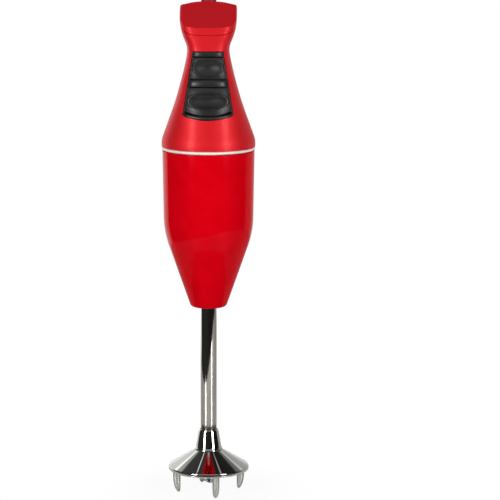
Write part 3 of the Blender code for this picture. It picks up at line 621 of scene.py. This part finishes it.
# %% Panel outline
PANEL_TOP, PANEL_BOTTOM, PANEL_ARC = 309.0, 263.7, 3.1
PANEL_TOP_W, PANEL_LOW_W, PANEL_LOW_Z = 10.1, 16.9, 267.5
RAIL = 0.8  # width of the frame beside the keys
GAP = 0.3  # running gap round each key
UPPER_KEY = dict(low=290.6, high=305.2, arc=0.0, dimple=UPPER_DIMPLE, half_w=9.6, half_h=5.0,
                 bowl=2.7)
LOWER_KEY = dict(low=269.0, high=285.0, arc=0.8 * PANEL_ARC, dimple=LOWER_DIMPLE, half_w=13.0, half_h=5.3,
                 bowl=3.5)


def panel_width(z):
    return PANEL_TOP_W + (PANEL_TOP - z) * (PANEL_LOW_W - PANEL_TOP_W) / (PANEL_TOP - PANEL_LOW_Z)


def panel_low(u):
    return PANEL_BOTTOM + PANEL_ARC * u * u


def key_low(key, u):
    return key["low"] - key["arc"] * (1 - u * u)


def patch(name, columns, rows, place, back):
    """A grid bent over the front of the handle by place(u, v), then extruded to a flat back."""
    only()
    bpy.ops.mesh.primitive_grid_add(x_subdivisions=columns, y_subdivisions=rows, size=2)
    piece = settle(bpy.context.object, name)
    for vertex in piece.data.vertices:
        x, z, out = place(vertex.co.x, (vertex.co.y + 1) / 2)
        vertex.co = Vector((x, front_y(x, z) - out, z)) * MM
    bpy.ops.object.mode_set(mode="EDIT")
    bpy.ops.mesh.select_all(action="SELECT")
    bpy.ops.mesh.extrude_region_move(TRANSFORM_OT_translate={"value": (0, MM, 0)})
    bpy.ops.object.mode_set(mode="OBJECT")
    for vertex in piece.data.vertices:
        if vertex.select:
            vertex.co.y = back * MM
    tidy_mesh(piece)
    return piece


# %% [markdown]
# ## Handle shell
#
# With the head cut, the blank is hollowed by a second blank that lies a wall thickness
# within it. Solidify would be quicker, but it folds over itself in the tight corners of
# the head. Then two openings are cut: the window for the switch, and the hole in the rear
# slope where the cord's gland stands.


# %% Handle shell
def window_place(u, v):
    low = panel_low(u) - GAP
    z = low + (PANEL_TOP + GAP - low) * v
    return u * (panel_width(z) + GAP), z, 4.0


gland_low, gland_high = span("cord_gland")
gland_y = (gland_low.y + gland_high.y) / 2
gland_radius = gland_high.x
cut(upper_housing, cut_ridge(handle_blank("handle_core", handle_foot - 3.0, WALL_THICK), WALL_THICK))
cut(upper_housing, patch("window_cutter", 24, 40, window_place, -10.0))
cut(upper_housing, rod(gland_radius + GAP, gland_low.z - 0.2, 352.0, (0, gland_y)))
tidy_mesh(upper_housing)
hand_over(shade(upper_housing, 28), satin_red, "housing", "satin_red", "upper_housing")

# %% [markdown]
# ## Lid
#
# The lid is a slice of the same blank, between the seam and the sloping face, so its
# sides run on from the handle without a step. A bevel has no room on
# these thin slices, so three planes each to the front and the sides ease the upper edge,
# which catches the light as the bright lip above the seam. The seam is an open gap: from
# the side one sees through it. The print on the real face is left out.


# %% Lid with its eased edge
EASE = 1.7  # radius of the eased edge
LID_SIDE = 19.35  # half the width of the lid


def ease_lid(piece, side, foot):
    """Rounds the lid's edge towards one side by three planes that touch the same rounding."""
    side = Vector(side)
    half_turn = math.acos(lid_up.dot(side)) / 2
    centre = foot - (lid_up + side) * EASE / (1 + lid_up.dot(side))
    for k in (1, 2, 3):
        share = math.tan((k / 2 - 1) * half_turn) / math.tan(half_turn)
        normal = (lid_up * (1 - share) + side * (1 + share)).normalized()
        slice_off(piece, centre + normal * EASE, normal)


lid = cut_ridge(handle_blank("lid_plate", handle_foot))
slice_off(lid, LID_FRONT, lid_up)
slice_off(lid, lid_plane(LID_DEPTH), -lid_up)
ease_lid(lid, (0, -1, 0), LID_FRONT)
for side in (-1, 1):
    ease_lid(lid, (side, 0, 0), LID_FRONT + Vector((side * LID_SIDE, 0, 0)))
tidy_mesh(lid)
print("lid plate:", len(lid.data.polygons), "faces")

# %% [markdown]
# ## Vents
#
# Six short slots near the ridge let the motor's cooling air in. A small block with rounded
# edges is placed across the lid for each slot and cut out of it.

# %% Vents
VENT_CENTRE, VENT_PITCH, VENT_Y = 10.6, 2.5, 5.9
for side in (-1, 1):
    for k in (-1, 0, 1):
        only()
        x = side * VENT_CENTRE + k * VENT_PITCH
        bpy.ops.mesh.primitive_cube_add(size=1, location=(x * MM, VENT_Y * MM, 338 * MM),
                                        scale=(1.5 * MM, 1.4 * MM, 16 * MM))
        vent = settle(bpy.context.object)
        round_edges(vent, 0.3, 3)
        cut(lid, vent)
tidy_mesh(lid)
print("lid with its vents:", len(lid.data.polygons), "faces")
hand_over(shade(lid, 28), satin_red, "housing", "satin_red", "label_lid")

# %% [markdown]
# ## Cord gland
#
# A rubber grommet stands in the rear slope, where the mains cord leaves. Rubber glands
# are moulded with ribs that let them bend, so the outline has three shallow grooves and
# a rolled lip round its open bore.

# %% Cord gland
GLAND_BORE = 3.2
low, high = gland_low.z, gland_high.z
ribs = []
for k in range(3):
    z = high - 3.0 - 2.0 * k
    ribs = [(gland_radius, z - 1.2), (gland_radius - 0.7, z - 0.9), (gland_radius - 0.7, z - 0.3),
            (gland_radius, z)] + ribs
lip = arc((gland_radius - 1.0, high - 1.0), 1.0, 0, 90, 6)
gland_outline = [(GLAND_BORE, low), (gland_radius, low)] + ribs + lip + [(GLAND_BORE, high)]
gland = turned("gland_sleeve", gland_outline, 64, (0, gland_y))
round_edges(gland, 0.15, 2)
hand_over(shade(gland), red_rubber, "housing", "red_rubber", "cord_gland")

# %% [markdown]
# ## Switch frame
#
# The frame is one black moulding: a strip on top, a bar between the keys, a lip below,
# and thin rails at the sides. It is made from a grid whose lines are moved to the edges
# of the key windows, so the windows are simply the faces that are deleted. Strip, bar
# and lip are crowned, and catch a line of light.

# %% Grid lines of the frame
LIP_ROWS, KEY_ROWS, BAR_ROWS, STRIP_ROWS, MID_COLUMNS, RAIL_COLUMNS = 6, 16, 12, 8, 32, 3
row_bands = [("lip", LIP_ROWS), ("lower window", KEY_ROWS), ("bar", BAR_ROWS),
             ("upper window", KEY_ROWS), ("strip", STRIP_ROWS)]
frame_rows = sum(count for _, count in row_bands)
frame_columns = MID_COLUMNS + 2 * RAIL_COLUMNS


def band_edges(u):
    """Heights where lip, windows, bar and strip meet, at the share u of the width."""
    return [panel_low(u), key_low(LOWER_KEY, u) - GAP, LOWER_KEY["high"] + GAP,
            UPPER_KEY["low"] - GAP, UPPER_KEY["high"] + GAP, PANEL_TOP]


def frame_band(v):
    """Which band of rows v falls in, and the share of the way through it."""
    row = v * frame_rows
    for k, (_, count) in enumerate(row_bands):
        if row <= count + 1e-6:
            return k, row / count
        row -= count
    return len(row_bands) - 1, 1.0


def frame_column(u):
    """Column number counted from the nearer side, as a share of the rail, and the side."""
    column = (abs(u) - 1) * frame_columns / 2 + RAIL_COLUMNS
    return column / RAIL_COLUMNS, math.copysign(1, u)


CROWN = {0: 0.7, 2: 0.9, 4: 0.5}  # height of the crowned lip, bar and strip


def swell_across(share):
    """A half wave from 0 to 1, which rises in the middle."""
    return math.sin(math.pi * min(max(share, 0.0), 1.0))


def frame_place(u, v):
    band, share = frame_band(v)
    rail, side = frame_column(u)
    edges = band_edges(u)
    z = edges[band] + (edges[band + 1] - edges[band]) * share
    width = panel_width(z)
    window = width - RAIL
    if rail >= 0:
        x = side * (window + RAIL * rail)
    else:
        x = u / (1 - 2 * RAIL_COLUMNS / frame_columns) * window
    crown = CROWN.get(band, 0.0) * swell_across(share) ** 0.6 * min(1.0, max(0.0, width - abs(x)) / 2.4)
    return x, z, (-0.3 if band in (1, 3) else 0.2) + crown


def in_window(face):
    u, v = face.center.x, (face.center.y + 1) / 2
    return frame_band(v)[0] in (1, 3) and frame_column(u)[0] < 0


# %% Switch frame
only()
bpy.ops.mesh.primitive_grid_add(x_subdivisions=frame_columns, y_subdivisions=frame_rows, size=2)
switch_frame = settle(bpy.context.object, "switch_surround")
pick(switch_frame, "FACE", in_window)
bpy.ops.mesh.delete(type="FACE")
bpy.ops.object.mode_set(mode="OBJECT")
for vertex in switch_frame.data.vertices:
    x, z, out = frame_place(vertex.co.x, (vertex.co.y + 1) / 2)
    vertex.co = Vector((x, front_y(x, z) - out, z)) * MM
bpy.ops.object.mode_set(mode="EDIT")
bpy.ops.mesh.select_all(action="SELECT")
bpy.ops.mesh.extrude_region_move(TRANSFORM_OT_translate={"value": (0, 3.4 * MM, 0)})
tidy_mesh(switch_frame)
round_edges(switch_frame, 0.12, 2, 50)
hand_over(shade(switch_frame, 40), black_plastic, "housing", "black_plastic", "switch_frame")

# %% [markdown]
# ## The two keys
#
# Each key swells out of the panel and has an oval hollow for the fingertip, with a thin
# raised line round it. All three are heights on the same grid: a hump over the key's
# length, a bowl inside the oval, and a narrow ridge along its edge. The grid is fine
# enough, at a third of a millimetre, to carry the ridge as real geometry.

# %% Keys
HUMP, OVAL_RIDGE = 1.25, 0.36


def key_place(key):
    def place(u, v):
        low = key_low(key, u)
        z = low + (key["high"] - low) * v
        x = u * (panel_width(z) - RAIL - GAP)
        hump = HUMP * swell_across(v) ** 0.75 - 0.2
        oval = math.hypot(x / key["half_w"], (z - key["dimple"]) / key["half_h"])
        bowl = key["bowl"] * max(0.0, 1 - oval * oval) ** 1.2
        ridge = OVAL_RIDGE * math.exp(-((oval - 1.05) / 0.06) ** 2)
        return x, z, hump - bowl + ridge

    return place


for word, key in (("upper", UPPER_KEY), ("lower", LOWER_KEY)):
    made = patch(f"{word}_finger_key", 104, 84, key_place(key), span(f"button_{word}")[1].y)
    round_edges(made, 0.2, 2, 50)
    hand_over(shade(made, 40), black_plastic, f"{word}_button", "black_plastic", f"button_{word}")

# %% [markdown]
# ## Key springs
#
# Behind each key a small coil spring pushes it back out. Each plain spring is copied,
# freed from its parent with its place kept, and the plain solid is hidden. The copy is a
# rigid coil, so it stays at full length inside the pressed key.

# %% Key springs
for word in ("upper", "lower"):
    only(frame["nodes"][f"button_spring_{word}"])
    bpy.ops.object.duplicate()
    bpy.ops.object.parent_clear(type="CLEAR_KEEP_TRANSFORM")
    coil = settle(bpy.context.object, f"{word}_key_coil")
    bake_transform(coil)
    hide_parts(f"button_spring_{word}")

# %% [markdown]
# ## Tube and collar
#
# The shaft tube is plain polished steel, so all its life is in the reflections. Below it
# a chrome collar widens like a skirt and hides the joint with the bell. Both are turned.
# Their edges are rounded by a few tenths, because a perfectly sharp edge never glints.

# %% Tube and collar
tube_low, tube_high = span("shaft_tube")
TUBE_IN = 4.6
tube = turned("steel_tube", [(TUBE_IN, tube_low.z), (tube_high.x, tube_low.z), (tube_high.x, tube_high.z),
                             (TUBE_IN, tube_high.z)], 96)
round_edges(tube, 0.2, 2)
hand_over(shade(tube), tube_steel, "housing", "stainless_tube", "shaft_tube")

collar_low, collar_high = span("bell_collar")
flare = arc((10.4, 32.2), 1.7, 235, 180, 6)
collar = turned("chrome_collar", [(TUBE_HOLE, collar_low.z), (9.65, collar_low.z)] + flare
                + [(6.85, 43.0), (6.6, 43.8), (6.3, collar_high.z), (TUBE_HOLE, collar_high.z)], 128)
round_edges(collar, 0.15, 2, 30)
hand_over(shade(collar), chrome, "housing", "polished_chrome", "bell_collar")

# %% [markdown]
# ## Bell
#
# The bell keeps the blade off the bottom of the beaker. It is a chrome dome with a nearly
# straight slope, an upright edge and a bright band along its rim. Chrome shows only what
# is around it, so the slope has to be a clean curve. The inside is the same curve, a wall
# thickness in, down to the hub that holds the shaft's seal.

# %% Bell
BELL_R, BELL_LOW, BELL_TOP, HUB_TOP_R = 27.9, 15.6, 29.6, 9.7
SKIRT_SLOPE, SHOULDER = 31.9, 0.8
fall = math.tan(math.radians(SKIRT_SLOPE))
turn_in = math.radians(90 - SKIRT_SLOPE)
touch_r = BELL_R - SHOULDER + SHOULDER * math.cos(turn_in)
shoulder_z = BELL_TOP - (touch_r - HUB_TOP_R) * fall - SHOULDER * math.sin(turn_in)
shoulder = arc((BELL_R - SHOULDER, shoulder_z), SHOULDER, 0, 90 - SKIRT_SLOPE, 8)
slope = [(HUB_TOP_R + (touch_r - HUB_TOP_R) * k / 6, BELL_TOP - (touch_r - HUB_TOP_R) * k / 6 * fall)
         for k in range(5, -1, -1)]
outside = [(BELL_R - 0.5, BELL_LOW), (BELL_R, BELL_LOW + 0.5)] + shoulder + slope
inside = [(5.4, BELL_TOP), (5.4, 26.2), (3.0, 26.2), (3.0, 24.4), (8.4, 24.4), (10.2, 26.8),
          (15.8, 23.4), (20.0, 20.8), (24.0, 18.3), (25.9, 16.9), (26.4, BELL_LOW)]
bell = turned("chrome_bell", outside + inside, 192)
round_edges(bell, 0.25, 3, 38)
hand_over(shade(bell, 24), chrome, "housing", "polished_chrome", "bell_guard")

# %% [markdown]
# ## Feet
#
# The four feet are cast with the bell and left satin. Each is a post that is flat on its
# inner side and round on its outer side, and it curves in towards its tip. A circle is
# squashed to that section, extruded down, and scaled and shifted at each step. One foot
# is made, and three copies are turned round the axis.

# %% Feet
FOOT_R, FOOT_TURN, FOOT_COUNT = 22.6, 13.6, 4
# height, shift towards the axis, radial half-depth, tangential half-width
foot_steps = [(18.6, 0.0, 2.9, 2.42), (13.0, 0.0, 2.9, 2.42), (10.0, 0.04, 2.85, 2.4),
              (8.0, 0.1, 2.76, 2.37), (6.2, 0.22, 2.6, 2.31), (4.6, 0.4, 2.38, 2.22), (3.2, 0.6, 2.1, 2.06),
              (2.0, 0.8, 1.74, 1.8), (1.0, 0.97, 1.3, 1.42), (0.35, 1.08, 0.84, 0.95), (0.0, 1.13, 0.36, 0.42)]


def cast_foot(name):
    """One foot on the front side, hanging from inside the bell's rim to the floor."""
    only()
    height, shift, deep, wide = foot_steps[0]
    bpy.ops.mesh.primitive_circle_add(vertices=40, radius=MM, fill_type="NGON",
                                      location=(0, -FOOT_R * MM, height * MM))
    piece = settle(bpy.context.object, name)
    for vertex in piece.data.vertices:
        inner_side = vertex.co.y + FOOT_R * MM > 0
        vertex.co.y = -FOOT_R * MM + (vertex.co.y + FOOT_R * MM) * deep * (0.8 if inner_side else 1.0)
        vertex.co.x *= wide
    pick(piece, "FACE", lambda face: True)
    for next_height, next_shift, next_deep, next_wide in foot_steps[1:]:
        step = (0, (next_shift - shift) * MM, (next_height - height) * MM)
        bpy.ops.mesh.extrude_region_move(TRANSFORM_OT_translate={"value": step})
        middle = (0, (-FOOT_R + next_shift) * MM, next_height * MM)
        bpy.ops.transform.resize(value=(next_wide / wide, next_deep / deep, 1), center_override=middle)
        height, shift, deep, wide = next_height, next_shift, next_deep, next_wide
    tidy_mesh(piece)
    return piece


for k in range(FOOT_COUNT):
    foot = cast_foot(f"bell_foot_{k + 1}")
    foot.rotation_euler = (0, 0, math.radians(FOOT_TURN) + k * 2 * math.pi / FOOT_COUNT)
    hand_over(shade(settle(foot), 50), cast_steel, "housing", "polished_chrome", "bell_guard")

# %% [markdown]
# ## Blade
#
# The blade is a slotted socket that pushes up over the shaft, with two pressed strips
# fixed round its foot. The lower strip lies almost flat, and the upper one bends its arms
# up. Each strip starts as a grid, whose points take their reach, rise and half-width, and
# Solidify gives the sheet its thickness. Its edges are rounded by a quarter millimetre.

# %% Socket
hub_low, hub_high = span("blade_hub")
HUB_R, HUB_BORE = 4.1, 2.8
hub_outline = [(0.4, hub_low.z), (HUB_R - 0.8, hub_low.z)] + arc((HUB_R - 0.8, hub_low.z + 0.8), 0.8, -90, 0, 6)
hub_outline += [(HUB_R, hub_high.z), (HUB_BORE, hub_high.z), (HUB_BORE, 9.3), (0.4, 9.3)]
hub = turned("blade_socket", hub_outline, 64)
pick(hub, "EDGE", lambda edge: all(math.hypot(*hub.data.vertices[i].co.xy) < 0.5 * MM for i in edge.vertices))
bpy.ops.mesh.delete(type="EDGE")
bpy.ops.object.mode_set(mode="OBJECT")
pick(hub, "EDGE", lambda edge: all(math.hypot(*hub.data.vertices[i].co.xy) < 0.5 * MM for i in edge.vertices))
bpy.ops.mesh.edge_face_add()
tidy_mesh(hub)
only()
bpy.ops.mesh.primitive_cube_add(size=1, location=(0, 0, 20.4 * MM), scale=(12 * MM, 2.2 * MM, 16 * MM))
slot_cutter = settle(bpy.context.object)
round_edges(slot_cutter, 0.9, 4)
cut(hub, slot_cutter)
round_edges(hub, 0.12, 2, 50)
hand_over(shade(hub), blade_steel, "blade", "blade_steel", "blade_hub")

# %% Strips
SHEET = 0.9
low_arm = [(0, 0, 6.3), (5.2, 0, 3.3), (8.5, 0.0, 3.1), (12.0, 0.15, 2.0), (14.3, 0.3, 0.7)]
high_arm = [(0, 0, 6.3), (5.0, 0.1, 3.0), (6.6, 1.2, 2.9), (9.6, 9.0, 2.3), (10.6, 12.4, 1.0)]


def strip(name, arm, z, turn):
    """A pressed strip: arm lists (reach, rise, half-width) from the middle outwards."""
    only()
    bpy.ops.mesh.primitive_grid_add(x_subdivisions=96, y_subdivisions=12, size=2)
    piece = settle(bpy.context.object, name)
    knots = [(k / (len(arm) - 1), point) for k, point in enumerate(arm)]
    tracks = [[(t, point[i]) for t, point in knots] for i in range(3)]
    for vertex in piece.data.vertices:
        t, across = abs(vertex.co.x), vertex.co.y
        reach, rise, half_width = [along(track, t) for track in tracks]
        washer = math.sqrt(max(0.0, 6.3**2 - reach**2))
        vertex.co = Vector((math.copysign(reach, vertex.co.x), across * max(half_width if t > 0.2 else 0, washer),
                            z + max(rise, 0.0 if t < 0.25 else rise))) * MM
    tidy_mesh(piece)
    modify(piece, "SOLIDIFY", thickness=SHEET * MM, offset=1)
    round_edges(piece, 0.25, 2, 50)
    cut(piece, rod(HUB_R + GAP, z - 2, z + 3))
    piece.rotation_euler = (0, 0, math.radians(turn))
    return shade(settle(piece), 40)


hand_over(strip("level_blade", low_arm, 8.6, 96), blade_steel, "blade", "blade_steel", "blade_wing_lower")
hand_over(strip("raised_blade", high_arm, 9.9, 8), blade_steel, "blade", "blade_steel", "blade_wing_upper")

# %% [markdown]
# ## Table, lamps and backdrop
#
# The blender stands on a round white table in a dark room. The table's edge and two tall
# soft panels in front are what the chrome, the tube and the gloss housing mirror, so they
# matter as much as the pieces. A large dim panel hangs above. Seen directly, most of the
# table's shading gives way to plain white, so little shadow shows on it.


# %% Table
only()
bpy.ops.mesh.primitive_cylinder_add(vertices=128, radius=0.507, depth=0.02, location=(0.133, 0.097, -0.01))
table = settle(bpy.context.object, "round_table")
white_paint = grained("matt_white_paint", "#F0F0EF", "#F6F6F5", 30, (0.22, 0.28), 0.001)
tree = white_paint.node_tree
away = add(tree, "ShaderNodeVectorMath", {0: add(tree, "ShaderNodeTexCoord").outputs["Object"]},
           operation="LENGTH").outputs["Value"]
fade = add(tree, "ShaderNodeMapRange", {"Value": away, "From Min": 0.03, "From Max": 0.08,
                                        "To Min": 0.93, "To Max": 1.0}).outputs["Result"]
to_camera = add(tree, "ShaderNodeLightPath").outputs["Is Camera Ray"]
share = add(tree, "ShaderNodeMath", {0: fade, 1: to_camera}, operation="MULTIPLY").outputs[0]
glow = add(tree, "ShaderNodeEmission", {"Color": (1, 1, 1, 1), "Strength": 1.0}).outputs[0]
melt = add(tree, "ShaderNodeMixShader", {0: share, 1: tree.nodes["Principled BSDF"].outputs[0], 2: glow})
tree.links.new(melt.outputs[0], tree.nodes["Material Output"].inputs["Surface"])
table.data.materials.append(white_paint)

# %% [markdown]
# ## Dark card
#
# A dark ring of paper lies on the table round the blender, open at the back. The camera
# doesn't see it. It is there only to put darker areas into the reflections.

# %% Card
CARD_INNER, CARD_SPREAD, CARD_BACK, CARD_Z = 0.085, 2.25, 0.075, 0.0006
only()
bpy.ops.mesh.primitive_circle_add(vertices=96, radius=CARD_INNER, location=(0, 0, CARD_Z))
card = settle(bpy.context.object, "dark_card")
bpy.ops.object.mode_set(mode="EDIT")
bpy.ops.mesh.select_all(action="SELECT")
bpy.ops.mesh.extrude_edges_move()
bpy.ops.transform.resize(value=(CARD_SPREAD, CARD_SPREAD, 1), center_override=(0, 0, CARD_Z))
bpy.ops.object.mode_set(mode="OBJECT")
pick(card, "FACE", lambda face: face.center.y > CARD_BACK)
bpy.ops.mesh.delete(type="FACE")
bpy.ops.object.mode_set(mode="OBJECT")
card.data.materials.append(grained("dark_paper", "#2A2A2A", "#333333", 1.0, (0.8, 0.9), 0.002))
card.visible_camera = False
print("card:", len(card.data.polygons), "faces")


# %% [markdown]
# ## Lamps
#
# Two tall soft panels stand in front, left and right, and draw the light streaks down the
# chrome. The panel above only lifts the handle and the keys a little.

# %% Lamps
def lamp(name, bearing, height, distance, size, watts, colour="#FFFFFF"):
    """A soft panel that faces the blender; bearing 0 is the camera's side, positive to the right."""
    only()
    a = math.radians(bearing)
    spot = Vector((math.sin(a) * distance, -math.cos(a) * distance, height))
    bpy.ops.object.light_add(type="AREA", location=spot)
    made = bpy.context.object
    made.name = name
    made.data.shape, made.data.size, made.data.size_y = "RECTANGLE", *size
    made.data.energy = watts
    made.data.color = linear(colour)[:3]
    made.rotation_euler = (spot - Vector((0, 0, 0.2))).to_track_quat("Z", "Y").to_euler()
    made.visible_camera = False
    return made


lamp("left_panel", -42, 0.435, 1.0, (0.26, 0.74), 7.6)
lamp("right_panel", 45, 0.435, 1.0, (0.26, 0.74), 7.0)
lamp("top_panel", -2, 1.2, 0.55, (1.1, 0.9), 1.5)

# %% [markdown]
# ## Backdrop
#
# The world is the backdrop: pale bands behind the object up to head height, dark
# elsewhere, brighter on one side, with two small bright spots that draw the light lines
# down the bell. Only reflections and light see it. Seen directly it is plain white.

# %% World
BACKDROP = (0.144, 0.990, 0)  # towards the middle of the pale bands
SPOTS, SPOT_EDGE = ((-0.229, 0.264, 0.937), (0.229, 0.264, 0.937)), (0.99984, 0.99992)
world = bpy.data.worlds.new("studio")
bpy.context.scene.world = world
world.use_nodes = True
tree = world.node_tree
tree.nodes.clear()
heading = add(tree, "ShaderNodeTexCoord").outputs["Generated"]
level = add(tree, "ShaderNodeVectorMath", {0: heading, 1: (1, 1, 0)}, operation="MULTIPLY").outputs["Vector"]
level = add(tree, "ShaderNodeVectorMath", {0: level}, operation="NORMALIZE").outputs["Vector"]
behind = add(tree, "ShaderNodeVectorMath", {0: level, 1: BACKDROP}, operation="DOT_PRODUCT").outputs["Value"]
wall = add(tree, "ShaderNodeMapRange", {"Value": behind, "From Min": 0.42, "From Max": 0.48}).outputs["Result"]
height = add(tree, "ShaderNodeSeparateXYZ", {0: heading}).outputs["Z"]
tall = add(tree, "ShaderNodeMapRange", {"Value": height, "From Min": -1, "From Max": 1}).outputs["Result"]
ramp = add(tree, "ShaderNodeValToRGB", {"Fac": tall})
stops = [(0.0, 0.75), (0.52, 0.75), (0.6, 0.5), (0.76, 0.45), (0.78, 0.8), (0.80, 0.8), (0.82, 0.26), (0.86, 0.22),
         (0.88, 0.03), (1.0, 0.02)]
for k, (spot, glow) in enumerate(stops):
    stop = ramp.color_ramp.elements[k] if k < 2 else ramp.color_ramp.elements.new(spot)
    stop.position, stop.color = spot, (glow, glow, glow, 1)
studio = add(tree, "ShaderNodeMix", {"Factor": wall, 6: (0.015, 0.015, 0.015, 1), 7: ramp.outputs["Color"]},
             data_type="RGBA").outputs[2]
for aim in SPOTS:
    near_aim = add(tree, "ShaderNodeVectorMath", {0: heading, 1: aim}, operation="DOT_PRODUCT").outputs["Value"]
    spot = add(tree, "ShaderNodeMapRange", {"Value": near_aim, "From Min": SPOT_EDGE[0], "From Max": SPOT_EDGE[1],
                                            "To Max": 0.5}).outputs["Result"]
    studio = add(tree, "ShaderNodeMix", {"Factor": spot, 6: studio, 7: (1, 1, 1, 1)}, data_type="RGBA").outputs[2]
sideways = add(tree, "ShaderNodeSeparateXYZ", {0: level}).outputs["X"]
falloff = add(tree, "ShaderNodeMapRange", {"Value": sideways, "From Min": -0.6, "From Max": 0.7, "To Min": 1.9,
                                           "To Max": 0.7}).outputs["Result"]
mirrored = add(tree, "ShaderNodeBackground", {"Color": studio, "Strength": falloff}).outputs[0]
plain = add(tree, "ShaderNodeBackground", {"Color": (1, 1, 1, 1), "Strength": 1.0}).outputs[0]
seen = add(tree, "ShaderNodeLightPath").outputs["Is Camera Ray"]
mixed = add(tree, "ShaderNodeMixShader", {0: seen, 1: mirrored, 2: plain}).outputs[0]
add(tree, "ShaderNodeOutputWorld", {"Surface": mixed})
bpy.context.scene.view_settings.view_transform = "Standard"
print("backdrop has", len(stops), "bands")

# %% [markdown]
# ## Camera
#
# A long lens from a little above keeps the sides nearly parallel, as on a product picture.

# %% Camera
camera_data = bpy.data.cameras.new("camera")
camera_data.lens, camera_data.sensor_width = 172.1, 36.0
camera = bpy.data.objects.new("camera", camera_data)
bpy.context.scene.collection.objects.link(camera)
camera.location = (0.0280, -1.6247, 0.4515)
camera.rotation_euler = (math.radians(90 - 9.8), math.radians(-0.12), 0)
bpy.context.scene.camera = camera
print("camera lens", camera_data.lens, "mm")
